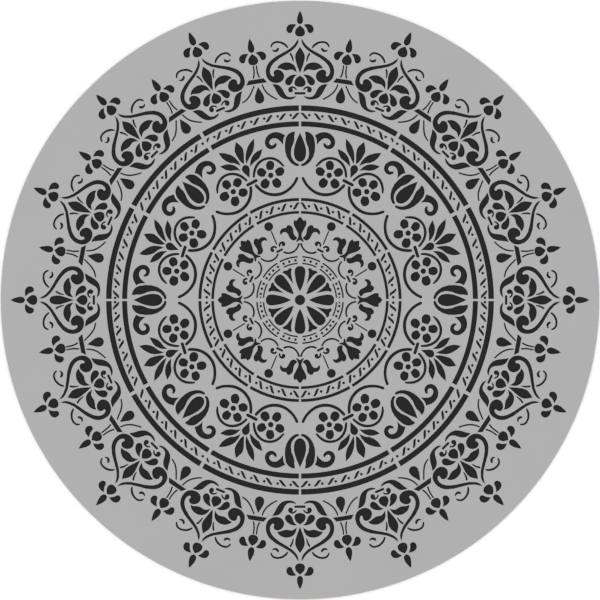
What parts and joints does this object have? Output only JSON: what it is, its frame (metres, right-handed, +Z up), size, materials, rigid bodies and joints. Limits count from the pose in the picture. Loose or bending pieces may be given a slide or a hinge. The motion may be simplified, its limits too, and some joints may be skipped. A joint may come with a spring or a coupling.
{
  "type": "ornamental circle stencil",
  "caption": "Flat round sheet cut through with a symmetric ornament of leaves, tulips, scrolls, dots and rings, for drawing or painting the pattern.",
  "frame": {"origin": "centre of the sheet, on its underside", "axes": "+Z up through the sheet, out of its top face; +Y towards the top of the ornament; +X to its right"},
  "size_m": [0.6, 0.6, 0.001],
  "materials": {
    "sheet": "matte grey, fine grain"
  },
  "bodies": {
    "root": {"stencil_sheet": "sheet"}
  },
  "joints": []
}
